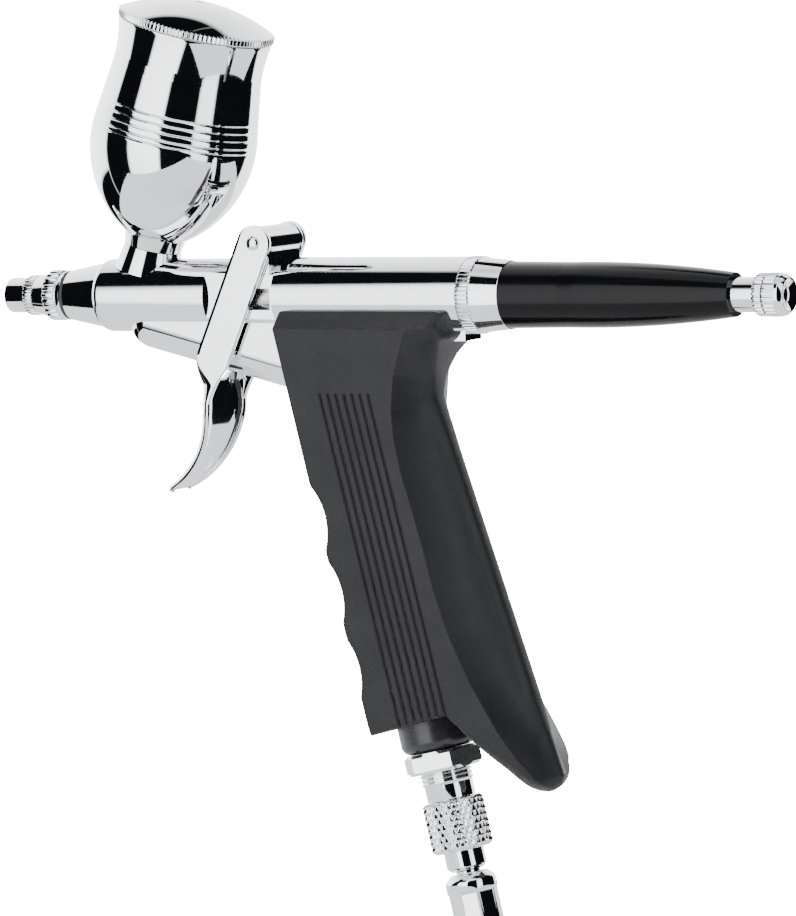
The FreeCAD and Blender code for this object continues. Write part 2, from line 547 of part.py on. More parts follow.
def build_trigger():
    """Folded sheet channel: two arms either side of the barrel, a curved finger web below."""
    name = "trigger"
    body = new_body(name)
    side = outline_sketch(body, name, [
        ("top_front_at", "top_front_rise", "arm_r"), ("elbow_at", "-elbow_drop"),
        ("web_at", "-web_drop", "elbow_round"), ("tip_at", "-tip_drop", "-finger_round"),
        ("tip_back_at", "-tip_back_drop"), ("flange_at", "-flange_drop", "back_round"),
        ("heel_at", "-heel_drop", "-heel_round"), ("top_back_at", "top_back_rise"),
        ("crown_at", "crown_rise", "arm_r")], name="Side")
    pad = body.newObject("PartDesign::Pad", "trigger_pad")
    pad.Profile = side
    pad.Midplane = True
    pad.setExpression("Length", "2 * " + cell("gun", "trigger_half_width"))
    doc.recompute()
    inside = outline_sketch(body, name, [
        ("clear_front_at", "clear_rise"), ("clear_front_at", "-web_top_drop"),
        ("web_back_at", "-web_top_drop"), ("tip_inside_at", "-tip_inside_drop", "-finger_round"),
        ("clear_back_at", "-clear_drop"), ("clear_back_at", "clear_rise")], name="Inside")
    pocket(body, inside, "2 * " + cell(name, "inner_half_width"), "trigger_channel")
    doc.recompute()
    for hand in ("", "-"):
        flipped = [(hand + "gun.trigger_half_width", "-taper_drop"),
                   (hand + "tip_half_width", "-clear_drop"),
                   (hand + "clear_half_width", "-clear_drop"), (hand + "clear_half_width", "-taper_drop")]
        taper = outline_sketch(body, name, flipped, role="YZ_Plane", name="Taper" + str(len(hand)))
        pocket(body, taper, "4 * " + cell(name, "clear_back_at"), "trigger_taper" + str(len(hand)))
        doc.recompute()
    hole = primitive("Cylinder", "trigger_hole",
                     across_y(size("gun", "pivot_at"), size("gun", "pivot_rise"), size(name, "clear_half_width")),
                     Radius=cell(name, "hole_r"), Height="2 * " + cell(name, "clear_half_width"))
    body.Label = "trigger_blank"
    return cut(name, body, [hole])


def build_trigger_fittings():
    """The riveted pivot pin, and the two studs that push the needle slide back."""
    pivot_x, pivot_z = size("gun", "pivot_at"), size("gun", "pivot_rise")
    outer = size("gun", "trigger_half_width") + size("pivot_pin", "arm_gap")
    length = outer + size("pivot_pin", "head_thickness")
    shank = primitive("Cylinder", "pin_shank", across_y(pivot_x, pivot_z, outer),
                      Radius=cell("pivot_pin", "shank_r"),
                      Height="2 * (" + cell("gun", "trigger_half_width") + " + " + cell("pivot_pin", "arm_gap") + ")")
    heads = [primitive("Cylinder", "pin_head_" + tag, across_y(pivot_x, pivot_z, at),
                       Radius=cell("pivot_pin", "head_r"), Height=cell("pivot_pin", "head_thickness"))
             for tag, at in (("left", length), ("right", -outer))]
    fuse("pivot_pin", [shank] + heads)

    drop = size("trigger_studs", "drop")
    stud_x = pivot_x - (pivot_z + drop) * math.tan(ARM_LEAN)
    reach = cell("trigger_studs", "outer_end") + " - " + cell("trigger_studs", "inner_end")
    studs = [primitive("Cylinder", "stud_" + tag, across_y(stud_x, -drop, at),
                       Radius=cell("trigger_studs", "outer_r"), Height=reach)
             for tag, at in (("left", size("trigger_studs", "outer_end")),
                             ("right", -size("trigger_studs", "inner_end")))]
    group = doc.addObject("Part::Compound", "trigger_studs")
    group.Links = studs


# ---------------------------------------------------------------- air valve, inside the grip top
def build_valve():
    turned("valve_plunger", AIR, [
        (0, "top_at"), ("stem_r", "top_at"), ("stem_r", "head_at"), ("head_r", "head_at"),
        ("head_r", "head_end_at"), ("tail_r", "head_end_at"), ("tail_r", "end_at"), (0, "end_at")])
    for part in ("valve_packing", "valve_seat", "valve_screw", "air_tube"):
        tube(part, AIR, "top_at", "end_at", "bore_r", "outer_r")
    spring("valve_spring", AIR)


# ---------------------------------------------------------------- air inlet and hose fitting
def build_inlet():
    turned("grip_collar", AIR, [
        ("bore_r", "top_at"), ("outer_r", "top_at"), ("outer_r", "edge_at"),
        ("edge_r", "end_at", "edge_round"), ("bore_r", "end_at")])
    name = "inlet_fitting"
    hexagon = primitive("Prism", "inlet_hex",
                        shifted(AIR, size(name, "hex_at")).multiply(
                            Placement(Vector(), Rotation(Vector(0, 0, 1), -size(name, "hex_turn")))),
                        Circumradius=cell(name, "hex_corner_r"),
                        Height=cell(name, "hex_end_at") + " - " + cell(name, "hex_at"))
    bevel = turned(name, AIR, [
        (0, "hex_at"), ("bevel_r", "hex_at"), ("hex_corner_r", "bevel_at"),
        ("hex_corner_r", "bevel_end_at"), ("bevel_r", "hex_end_at"), (0, "hex_end_at")], label="hex_bevel")
    nut = doc.addObject("Part::Common", "bevelled_hex")
    nut.Base, nut.Tool = hexagon, bevel
    shank = turned(name, AIR, [
        (0, "bevel_at"), ("thread_r", "bevel_at"), ("thread_r", "thread_end_at"),
        ("neck_r", "thread_end_at"), ("neck_r", "neck_end_at"), ("spigot_r", "neck_end_at"),
        ("spigot_r", "end_at"), (0, "end_at")], label="inlet_shank")
    bore = turned(name, AIR, [
        (0, "hex_at"), ("socket_r", "hex_at"), ("socket_r", "socket_end_at"), ("bore_r", "socket_end_at"),
        ("bore_r", "end_at"), (0, "end_at")], label="inlet_bore")
    cut(name, fuse("inlet_solid", [nut, shank]), [bore])

    turned("hose_nut", AIR, [
        ("socket_r", "top_at"), ("bevel_r", "top_at"), ("outer_r", "bevel_at"),
        ("outer_r", "bevel_end_at"), ("bevel_r", "end_at"), ("lip_r", "end_at"), ("lip_r", "lip_at"),
        ("chamber_r", "lip_at"), ("chamber_r", "socket_end_at"), ("socket_r", "socket_end_at")])
    tube("hose_washer", AIR, "top_at", "end_at", "bore_r", "outer_r")
    turned("hose_tail", AIR, [
        ("bore_r", "flange_at"), ("flange_r", "flange_at"), ("flange_r", "flange_end_at"),
        ("stem_r", "flange_end_at"), ("stem_r", "collar_at"), ("collar_r", "collar_at"),
        ("collar_r", "collar_bevel_at"), ("barb_shoulder_r", "collar_end_at"), ("barb_r", "collar_end_at"),
        ("barb_r", "barb_end_at"), ("bore_r", "barb_end_at")])

    name = "ferrule"
    sleeve = turned(name, AIR, [
        ("lip_r", "top_at"), ("top_r", "top_at"), ("outer_r", "shoulder_at", "top_round"),
        ("outer_r", "end_at"), ("mouth_r", "end_at"), ("mouth_r", "mouth_at"), ("bore_r", "mouth_at"),
        ("bore_r", "lip_end_at"), ("lip_r", "lip_end_at")], label="ferrule_sleeve")
    die = primitive("Prism", "crimp_die", shifted(AIR, size(name, "flats_at")), Polygon="8",
                    Circumradius=cell(name, "crimp_corner_r"),
                    Height=cell(name, "end_at") + " - " + cell(name, "flats_at"))
    plain = primitive("Cylinder", "crimp_plain", shifted(AIR, size(name, "top_at")),
                      Radius=cell(name, "outer_r"),
                      Height=cell(name, "flats_at") + " - " + cell(name, "top_at"))
    crimped = doc.addObject("Part::Common", name)
    crimped.Base, crimped.Tool = sleeve, fuse("crimp_envelope", [die, plain])


# ---------------------------------------------------------------- grip
def build_grip():
    """Pistol grip: side outline with three finger hollows, bevelled top, scooped back, ribbed sides."""
    name = "grip"
    body = new_body("grip_blank")
    corners = [("top_front_at", "-top_drop")]
    for hollow, _, _ in HOLLOWS:
        corners.append((hollow + "_top_at", "-" + hollow + "_top_drop"))
        corners.append((hollow + "_end_at", "-" + hollow + "_end_drop", "-scallop_round"))
    corners += [
        ("front_bottom_at", "-front_bottom_drop"), ("heel_at", "-heel_drop"),
        ("tail_root_at", "-tail_root_drop"), ("tail_low_at", "-tail_low_drop"),
        ("tail_back_at", "-tail_back_drop", "tail_round"), ("waist_at", "-waist_drop"),
        ("rear_top_at", "-rear_top_drop", "-neck_round"), ("rear_top_at", "-top_drop")]
    side = outline_sketch(body, name, corners, name="Side")
    pad = body.newObject("PartDesign::Pad", "grip_pad")
    pad.Profile = side
    pad.Midplane = True
    pad.setExpression("Length", "2 * " + cell(name, "half_width"))
    doc.recompute()
    for hand in ("", "-"):
        bevel = outline_sketch(body, name, [
            (hand + "top_half_width", "-top_drop"), (hand + "half_width", "-bevel_drop"),
            (hand + "bevel_clear", "-bevel_drop"), (hand + "bevel_clear", 0),
            (hand + "top_half_width", 0)], role="YZ_Plane", name="Bevel" + str(len(hand)))
        pocket(body, bevel, "4 * " + cell(name, "tail_back_at"), "grip_bevel" + str(len(hand)))
        doc.recompute()

    tools = []
    rear = Vector(size(name, "tail_back_at") - size(name, "waist_at"), 0,
                  size(name, "waist_drop") - size(name, "tail_back_drop")).normalize()
    for hand, tag in ((1, "left"), (-1, "right")):
        start = Vector(size(name, "scoop_at"), hand * size(name, "scoop_out"), -size(name, "scoop_drop"))
        tools.append(primitive("Cylinder", "scoop_" + tag, along(rear, start),
                               Radius=cell(name, "scoop_r"), Height=cell(name, "scoop_length")))
        tools.append(primitive("Sphere", "scoop_end_" + tag, Placement(start, Rotation()),
                               Radius=cell(name, "scoop_r")))
        for i in range(RIB_COUNT):
            lean = Rotation(Vector(0, 1, 0), 180 - size(name, "rib_lean"))
            corner = Vector(size(name, "rib_top_at") + i * size(name, "rib_pitch"),
                            hand * size(name, "half_width"), -size(name, "rib_top_drop"))
            step = lean.multVec(Vector(-size(name, "rib_width") / 2, -size(name, "rib_depth"), 0))
            tools.append(primitive("Box", "rib_" + tag + str(i), Placement(corner + step, lean),
                                   Length=cell(name, "rib_width"), Width="2 * " + cell(name, "rib_depth"),
                                   Height=cell(name, "rib_length")))
    trough = primitive("Cylinder", "barrel_trough", BARREL, Radius=cell("main_body", "rear_r"),
                       Height="2 * " + cell("main_body", "end_at"))
    bore = turned(name, AIR, [
        (0, 0), ("tang_bore_r", 0), ("tang_bore_r", "main_body.tang_end_at"),
        ("tube_bore_r", "main_body.tang_end_at"), ("tube_bore_r", "grip_collar.top_at"),
        ("recess_r", "grip_collar.top_at"), ("recess_r", "ferrule.end_at"), (0, "ferrule.end_at")],
        label="grip_bore")
    keel_seat = build_keel("keel_seat")
    lug_seat = box("lug_seat", (cell("main_body", "tail_lug_at"), "-" + cell("main_body", "tail_lug_half_width"),
                                "-" + cell("main_body", "tail_lug_drop")),
                   ("2 * " + cell("main_body", "tail_lug_end_at"), cell("main_body", "tail_lug_half_width"), "0"))
    return cut(name, body, [trough, bore, keel_seat, lug_seat] + tools)


# ---------------------------------------------------------------- all of it
NODES = [
    "needle_cap", "nozzle_cap", "nozzle", "head_seal", "nose_cone", "main_body", "paint_cup", "cup_lid",
    "needle", "needle_packing", "packing_screw", "needle_slide", "chuck_nut", "needle_spring",
    "spring_guide", "rear_ring", "handle_sleeve", "tail_bush", "stop_screw", "lock_ring", "preset_knob",
    "trigger", "trigger_studs", "pivot_pin", "valve_plunger", "valve_packing", "valve_seat",
    "valve_spring", "valve_screw", "air_tube", "grip", "grip_collar", "inlet_fitting", "hose_nut",
    "hose_washer", "hose_tail", "ferrule",
]


def write_parts():
    """Stop on any failed object or bad solid, then write one STEP file per sub-part."""
    for thing in doc.Objects:
        if "Invalid" in thing.State or "Error" in thing.State:
            raise RuntimeError(thing.Name + " failed: " + ", ".join(thing.State))
    os.makedirs("parts", exist_ok=True)
    for label in NODES:
        shape = doc.getObjectsByLabel(label)[0].Shape
        if shape.isNull() or not shape.isValid() or shape.Volume <= 0:
            raise RuntimeError(label + " has no valid solid")
        shape.exportStep("parts/" + label + ".step")
        print(label, len(shape.Solids), round(shape.Volume, 1))


def main():
    build_head()
    build_main_body()
    build_cup()
    build_needle_train()
    build_tail()
    build_trigger()
    build_trigger_fittings()
    build_valve()
    build_inlet()
    build_grip()
    doc.recompute()
    write_parts()



main()
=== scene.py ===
"""Studio picture of the airbrush gun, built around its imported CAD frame."""

import json
import math

import bmesh
import bpy
import numpy as np
from mathutils import Matrix, Vector

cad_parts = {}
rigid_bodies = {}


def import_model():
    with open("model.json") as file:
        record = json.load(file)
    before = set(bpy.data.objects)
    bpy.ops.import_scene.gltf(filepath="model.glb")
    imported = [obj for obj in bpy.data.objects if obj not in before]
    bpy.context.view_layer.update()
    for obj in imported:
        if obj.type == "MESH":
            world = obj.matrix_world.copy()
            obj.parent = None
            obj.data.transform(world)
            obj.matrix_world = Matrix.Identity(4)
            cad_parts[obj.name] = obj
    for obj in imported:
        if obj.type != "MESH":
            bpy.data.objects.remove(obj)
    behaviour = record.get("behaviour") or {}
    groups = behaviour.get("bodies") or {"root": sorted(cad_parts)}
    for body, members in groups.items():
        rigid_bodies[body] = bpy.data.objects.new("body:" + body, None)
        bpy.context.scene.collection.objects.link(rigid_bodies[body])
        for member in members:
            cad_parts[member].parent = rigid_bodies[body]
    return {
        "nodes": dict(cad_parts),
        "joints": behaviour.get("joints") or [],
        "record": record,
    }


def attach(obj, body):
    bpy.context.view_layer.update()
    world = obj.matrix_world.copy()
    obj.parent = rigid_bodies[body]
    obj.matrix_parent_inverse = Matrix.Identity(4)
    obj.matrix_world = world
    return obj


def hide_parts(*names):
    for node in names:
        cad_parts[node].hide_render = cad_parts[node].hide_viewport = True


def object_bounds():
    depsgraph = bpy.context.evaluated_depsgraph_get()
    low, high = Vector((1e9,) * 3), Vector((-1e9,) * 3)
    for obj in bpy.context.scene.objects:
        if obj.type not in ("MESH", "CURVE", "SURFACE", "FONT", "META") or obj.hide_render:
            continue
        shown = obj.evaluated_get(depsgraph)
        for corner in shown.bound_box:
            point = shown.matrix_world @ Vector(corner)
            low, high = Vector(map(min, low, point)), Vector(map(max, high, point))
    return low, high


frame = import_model()
CAD_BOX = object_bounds()
MM = 0.001
scene = bpy.context.scene


# ---------------------------------------------------------------- axes of the turned parts
def axis_frame(direction, origin):
    """Matrix whose local Z is the direction, for pieces that are turned about an axis in the XZ plane."""
    z = Vector(direction).normalized()
    y = Vector((0, 1, 0))
    x = y.cross(z).normalized()
    turn = Matrix((x, y, z)).transposed().to_4x4()
    return Matrix.Translation(Vector(origin)) @ turn


JOINTS = {joint["name"]: joint for joint in frame["joints"]}
AIR_DIRECTION = Vector(JOINTS["hose_nut_turn"]["axis"])
CUP_DIRECTION = Vector(JOINTS["lid_lift"]["axis"])
PIVOT = Vector(JOINTS["trigger_pull"]["pos_m"])
# Where the air inlet's and the cup's axes cross the barrel's, in millimetres from the tip.
AIR_CROSSING, CUP_CROSSING = 71.2, 29.2
BARREL = axis_frame((1, 0, 0), (0, 0, 0))
AIR = axis_frame(AIR_DIRECTION, (AIR_CROSSING * MM, 0, 0))
CUP = axis_frame(CUP_DIRECTION, (CUP_CROSSING * MM, 0, 0))


# ---------------------------------------------------------------- materials
def new_material(name, colour, metallic=0.0, roughness=0.5, **sockets):
    material = bpy.data.materials.new(name)
    material.use_nodes = True
    shader = material.node_tree.nodes["Principled BSDF"]
    shader.inputs["Base Color"].default_value = (*colour, 1)
    shader.inputs["Metallic"].default_value = metallic
    shader.inputs["Roughness"].default_value = roughness
    for socket, value in sockets.items():
        shader.inputs[socket.replace("_", " ")].default_value = value
    return material


def add_noise(material, scale, detail=4.0, stretch=(1, 1, 1)):
    """Object-space noise, stretched along the axes given."""
    nodes, links = material.node_tree.nodes, material.node_tree.links
    place = nodes.new("ShaderNodeTexCoord")
    mapping = nodes.new("ShaderNodeMapping")
    mapping.inputs["Scale"].default_value = stretch
    noise = nodes.new("ShaderNodeTexNoise")
    noise.inputs["Scale"].default_value = scale
    noise.inputs["Detail"].default_value = detail
    links.new(place.outputs["Object"], mapping.inputs["Vector"])
    links.new(mapping.outputs["Vector"], noise.inputs["Vector"])
    return noise.outputs["Fac"]


def drive_roughness(material, source, low, high):
    nodes, links = material.node_tree.nodes, material.node_tree.links
    ramp = nodes.new("ShaderNodeMapRange")
    ramp.inputs["From Min"].default_value = 0.3
    ramp.inputs["From Max"].default_value = 0.7
    ramp.inputs["To Min"].default_value = low
    ramp.inputs["To Max"].default_value = high
    links.new(source, ramp.inputs["Value"])
    links.new(ramp.outputs["Result"], nodes["Principled BSDF"].inputs["Roughness"])


def drive_colour(material, source, dark, light):
    nodes, links = material.node_tree.nodes, material.node_tree.links
    mix = nodes.new("ShaderNodeMix")
    mix.data_type = "RGBA"
    mix.inputs["A"].default_value = (*dark, 1)
    mix.inputs["B"].default_value = (*light, 1)
    links.new(source, mix.inputs["Factor"])
    links.new(mix.outputs["Result"], nodes["Principled BSDF"].inputs["Base Color"])


def drive_bump(material, source, distance, strength=1.0):
    nodes, links = material.node_tree.nodes, material.node_tree.links
    bump = nodes.new("ShaderNodeBump")
    bump.inputs["Distance"].default_value = distance
    bump.inputs["Strength"].default_value = strength
    links.new(source, bump.inputs["Height"])
    links.new(bump.outputs["Normal"], nodes["Principled BSDF"].inputs["Normal"])


def chrome(name="chrome", tint=(0.86, 0.87, 0.89), low=0.025, high=0.06):
    """Mirror plating with faint polishing haze."""
    material = new_material(name, tint, metallic=1.0, roughness=low)
    haze = add_noise(material, 260.0, 6.0)
    drive_roughness(material, haze, low, high)
    wear = add_noise(material, 60.0, 3.0)
    drive_colour(material, wear, [c * 0.955 for c in tint], tint)
    return material


def turned_steel(name, tint, low, high, stretch=(1, 1, 1)):
    material = new_material(name, tint, metallic=1.0, roughness=low)
    grain = add_noise(material, 900.0, 5.0, stretch)
    drive_roughness(material, grain, low, high)
    drive_bump(material, grain, 0.00001, 0.25)
    drive_colour(material, add_noise(material, 90.0), [c * 0.85 for c in tint], tint)
    return material


def gloss_black():
    """Thick polished lacquer: black, with the slightest orange peel and dust haze."""
    material = new_material("black_gloss", (0.006, 0.006, 0.007), roughness=0.1, Specular_IOR_Level=0.16)
    drive_roughness(material, add_noise(material, 700.0, 6.0), 0.09, 0.17)
    drive_colour(material, add_noise(material, 120.0), (0.002, 0.002, 0.002), (0.004, 0.004, 0.005))
    return material


def grip_plastic():
    """Moulded nylon with a fine spark-eroded grain and faint handling shine."""
    material = new_material("grip_plastic", (0.012, 0.012, 0.013), roughness=0.5, Specular_IOR_Level=0.3)
    grain = add_noise(material, 4200.0, 2.0)
    drive_bump(material, grain, 0.00004, 0.5)
    drive_roughness(material, add_noise(material, 130.0, 5.0), 0.44, 0.58)
    drive_colour(material, add_noise(material, 2600.0, 3.0), (0.009, 0.009, 0.010), (0.015, 0.015, 0.017))
    return material


def plain_plastic(name, dark, light, low, high):
    material = new_material(name, dark, roughness=low)
    drive_roughness(material, add_noise(material, 500.0), low, high)
    drive_colour(material, add_noise(material, 300.0), dark, light)
    drive_bump(material, add_noise(material, 2500.0), 0.00002, 0.4)
    return material


MATERIALS = {
    "chrome": chrome(),
    "steel": turned_steel("steel", (0.62, 0.62, 0.62), 0.18, 0.32, (1, 30, 30)),
    "spring_steel": turned_steel("spring_steel", (0.45, 0.45, 0.46), 0.25, 0.4),
    "brass": turned_steel("brass", (0.80, 0.60, 0.28), 0.15, 0.3),
    "white_seal": plain_plastic("white_seal", (0.78, 0.78, 0.75), (0.85, 0.85, 0.83), 0.4, 0.55),
    "black_seal": plain_plastic("black_seal", (0.012, 0.012, 0.012), (0.03, 0.03, 0.03), 0.5, 0.7),
    "black_gloss": gloss_black(),
    "grip_plastic": grip_plastic(),
    "collar_plastic": plain_plastic("collar_plastic", (0.012, 0.012, 0.013), (0.022, 0.022, 0.024),
                                    0.22, 0.34),
}
SLOT_OF = {sub["node"]: sub["material_slot"] for sub in frame["record"]["subparts"]}
BODY_OF = {node: body for body, nodes in frame["record"]["behaviour"]["bodies"].items() for node in nodes}


def finish_node(node):
    """A CAD node that stays gets its slot's finished material."""
    obj = frame["nodes"][node]
    obj.data.materials.clear()
    obj.data.materials.append(MATERIALS[SLOT_OF[node]])


def adopt(obj, node):
    """A detailed piece takes over from a CAD node: same body, same slot, finished material."""
    obj.data.materials.clear()
    obj.data.materials.append(MATERIALS[SLOT_OF[node]])
    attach(obj, BODY_OF[node])
    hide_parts(node)
    return obj


for node in frame["nodes"]:
    finish_node(node)

# ---------------------------------------------------------------- mesh kit
def span(node, axis):
    """(start, end, largest radius) of a CAD node along one of the axes."""
    inverse = axis.inverted()
    places = [inverse @ vertex.co for vertex in frame["nodes"][node].data.vertices]
    stations = [p.z for p in places]
    return min(stations), max(stations), max(math.hypot(p.x, p.y) for p in places)


def softened(points, default, steps=3):
    """Closed outline with every corner turned into a small arc.  Points are (radius, station) or
    (radius, station, rounding)."""
    out = []
    count = len(points)
    for i, point in enumerate(points):
        here = Vector(point[:2])
        before, after = Vector(points[i - 1][:2]), Vector(points[(i + 1) % count][:2])
        into, away = here - before, after - here
        bend = into.angle(away, 0.0)
        rounding = point[2] if len(point) > 2 else default
        if point[0] < 1e-7 or rounding <= 0 or bend < 0.03:
            out.append(here)
            continue
        setback = min(rounding * math.tan(bend / 2), into.length * 0.45, away.length * 0.45)
        start, end = here - into.normalized() * setback, here + away.normalized() * setback
        for k in range(steps + 1):
            t = k / steps
            out.append(start * (1 - t) ** 2 + here * 2 * t * (1 - t) + end * t ** 2)
    return out


def rows_between(outline, low, high, step):
    """Extra points on the outermost run of an outline, so that knurling has rows to bend."""
    out = []
    outermost = max(p.x for p in outline)
    for i, here in enumerate(outline):
        out.append(here)
        after = outline[(i + 1) % len(outline)]
        on_top = min(here.x, after.x) > outermost - 1e-5
        if on_top and min(here.y, after.y) >= low - 1e-6 and max(here.y, after.y) <= high + 1e-6:
            count = max(1, int((after - here).length / step))
            out += [here.lerp(after, k / count) for k in range(1, count)]
    return out


def finish_mesh(name, bm, axis=None, sharp=35):
    bmesh.ops.remove_doubles(bm, verts=bm.verts, dist=1e-7)
    bmesh.ops.recalc_face_normals(bm, faces=bm.faces)
    if axis is not None:
        bmesh.ops.transform(bm, matrix=axis, verts=bm.verts)
    mesh = bpy.data.meshes.new(name)
    bm.to_mesh(mesh)
    bm.free()
    for face in mesh.polygons:
        face.use_smooth = True
    mesh.set_sharp_from_angle(angle=math.radians(sharp))
    obj = bpy.data.objects.new(name, mesh)
    scene.collection.objects.link(obj)
    return obj


def spin(name, axis, outline, segments=144, relief=None, sharp=35):
    """Closed outline of (radius, station) spun about the axis.  relief(angle, station, radius) is
    how far the surface is cut back there."""
    bm = bmesh.new()
    rings = []
    for k in range(segments):
        angle = 2 * math.pi * k / segments
        ring = []
        for point in outline:
            radius = point.x - (relief(angle, point.y, point.x) if relief else 0.0)
            ring.append(bm.verts.new((radius * math.cos(angle), radius * math.sin(angle), point.y)))
        rings.append(ring)
    count = len(outline)
    for k in range(segments):
        here, after = rings[k], rings[(k + 1) % segments]
        for i in range(count):
            j = (i + 1) % count
            if outline[i].x < 1e-7 and outline[j].x < 1e-7:
                continue
            if outline[i].x < 1e-7:
                bm.faces.new((here[i], here[j], after[j]))
            elif outline[j].x < 1e-7:
                bm.faces.new((here[i], here[j], after[i]))
            else:
                bm.faces.new((here[i], here[j], after[j], after[i]))
    return finish_mesh(name, bm, axis, sharp)


def tooth(angle, count, flat):
    """0 on a tooth's land and 1 at the bottom of the V between two teeth."""
    phase = (angle * count / (2 * math.pi)) % 1.0
    away = abs(phase - 0.5) * 2
    return max(0.0, (away - flat) / (1 - flat))


def straight_knurl(count, depth, flat, low, high, least):
    """Axial grooves round a band; least is the smallest radius that counts as the band."""
    def relief(angle, station, radius):
        if station < low - 1e-6 or station > high + 1e-6 or radius < least:
            return 0.0
        return depth * tooth(angle, count, flat)
    return relief


def diamond_knurl(count, depth, twist, low, high, least):
    """Two crossed sets of helical grooves; twist is in radians per metre along the axis."""
    def relief(angle, station, radius):
        if station < low or station > high or radius < least:
            return 0.0
        one = tooth(angle + twist * station, count, 0.1)
        other = tooth(angle - twist * station, count, 0.1)
        return depth * max(one, other)
    return relief


def outline_of(*points):
    """Outline points given in millimetres."""
    return [tuple(v * MM for v in point) for point in points]


# ---------------------------------------------------------------- spray head
def build_needle_cap():
    start, end, radius = (v / MM for v in span("needle_cap", BARREL))
    band = end - 2.0
    points = softened(outline_of(
        (1.9, start, 0.15), (3.3, start, 0.55), (3.3, band, 0.05), (radius, band, 0.2),
        (radius, end, 0.2), (2.65, end, 0.05), (2.65, start + 1.4, 0.05),
        (1.9, start + 1.4, 0.05)), 0.05 * MM)
    knurl = straight_knurl(32, 0.32 * MM, 0.45, band * MM, end * MM, 3.5 * MM)
    adopt(spin("needle_cap_detail", BARREL, points, 256, knurl, 25), "needle_cap")


def build_nozzle_cap():
    start, end, radius = (v / MM for v in span("nozzle_cap", BARREL))
    knurl_at, collar_at = end - 3.8, end - 1.2
    points = softened(outline_of(
        (0.95, start), (2.6, start, 0.3), (2.6, 6.5), (3.7, 6.5, 0.15), (4.2, knurl_at, 0.05),
        (radius, knurl_at, 0.25), (radius, collar_at, 0.25), (4.35, collar_at + 0.1, 0.05),
        (4.5, collar_at + 0.25, 0.1), (radius - 0.05, end, 0.2), (3.95, end), (3.95, 10.9), (3.3, 10.9),
        (3.3, 9.8)), 0.05 * MM)
    knurl = straight_knurl(25, 0.42 * MM, 0.5, knurl_at * MM, collar_at * MM, 4.45 * MM)
    adopt(spin("nozzle_cap_detail", BARREL, points, 250, knurl, 25), "nozzle_cap")


# ---------------------------------------------------------------- cup and lid
def arc(start, end, radius, steps=14):
    """Points between two ends on an arc that bulges to the right of the run (left if negative),
    the far end left out."""
    start, end = Vector(start), Vector(end)
    chord = end - start
    side = Vector((chord.y, -chord.x)).normalized()
    reach = math.sqrt(radius * radius - chord.length_squared / 4)
    centre = start + chord / 2 - side * math.copysign(reach, radius)
    a, b = start - centre, end - centre
    turn = math.atan2(a.x * b.y - a.y * b.x, a.dot(b))
    out = []
    for k in range(steps):
        angle = turn * k / steps
        c, s = math.cos(angle), math.sin(angle)
        out.append(tuple(centre + Vector((a.x * c - a.y * s, a.x * s + a.y * c))))
    return out


def build_cup():
    start, rim, belly = (v / MM for v in span("paint_cup", CUP))
    belly -= 0.41
    bowl = arc((5.8, 11.7), (belly, 34.2), 22.0, 40)
    inner = arc((14.2, 34.2), (2.0, 12.4), -21.5, 40)
    flare = arc((13.8, 44.0), (14.5, rim), -40.0, 12)
    inside_flare = arc((13.6, rim), (12.9, 44.0), 40.0, 12)
    outside = [(2.0, start), (3.6, start), (3.6, 9.4), (5.3, 9.4)] + bowl + [(belly, 34.2)]
    outside += [(13.95, 43.0, 0.3)] + flare[1:] + [(14.5, rim, 0.15)] + inside_flare + inner
    points = softened([tuple(v * MM for v in p) for p in outside], 0.02 * MM)
    dense = []
    for i, here in enumerate(points):
        after = points[(i + 1) % len(points)]
        dense.append(here)
        if here.x > 13.0 * MM and 30 * MM < here.y < 43.2 * MM and after.y > here.y:
            count = max(1, int((after - here).length / (0.1 * MM)))
            dense += [here.lerp(after, k / count) for k in range(1, count)]
    grooves = [g * MM for g in (36.2, 34.8, 33.4, 32.0, 31.0)]

    def relief(angle, station, radius):
        if radius < 13.9 * MM or station > 40 * MM:
            return 0.0
        return sum(0.16 * MM * math.exp(-((station - g) / (0.16 * MM)) ** 2) for g in grooves)
    adopt(spin("paint_cup_detail", CUP, dense, 192, relief, 30), "paint_cup")


def build_lid():
    start, crown, radius = (v / MM for v in span("cup_lid", CUP))
    rim, edge = 51.4, 52.7
    dome = arc((14.3, edge + 0.1), (0.7, crown), 32.0, 24)
    under = arc((0.7, crown - 1.0), (11.9, 52.2), -32.0, 16)
    outside = [(11.9, start), (12.7, start), (12.7, rim), (radius - 0.1, rim, 0.1),
               (radius, rim + 0.2, 0.1), (radius, edge - 0.1, 0.15)]
    outside += dome + [(0.7, crown, 0.15)] + under + [(11.9, 52.2)]
    points = softened([tuple(v * MM for v in p) for p in outside], 0.05 * MM)
    knurl = straight_knurl(110, 0.22 * MM, 0.35, (rim - 0.1) * MM, edge * MM, (radius - 0.3) * MM)
    adopt(spin("cup_lid_detail", CUP, points, 550, knurl, 25), "cup_lid")


# ---------------------------------------------------------------- tail
def build_rear_ring():
    start, end, radius = (v / MM for v in span("rear_ring", BARREL))
    knurl_at, knurl_end, cone_end = end - 12.0, end - 9.3, end - 3.8
    points = softened(outline_of(
        (4.6, start), (5.55, start), (5.55, knurl_at), (radius - 0.2, knurl_at, 0.05),
        (radius, knurl_at + 0.25, 0.1), (radius, knurl_end - 0.25, 0.1), (6.85, knurl_end, 0.05),
        (6.25, cone_end, 0.1), (4.6, cone_end), (4.6, end), (3.45, end), (3.45, knurl_at),
        (4.6, knurl_at)), 0.05 * MM)
    knurl = straight_knurl(58, 0.3 * MM, 0.6, knurl_at * MM, knurl_end * MM, (radius - 0.25) * MM)
    adopt(spin("rear_ring_detail", BARREL, points, 464, knurl, 25), "rear_ring")


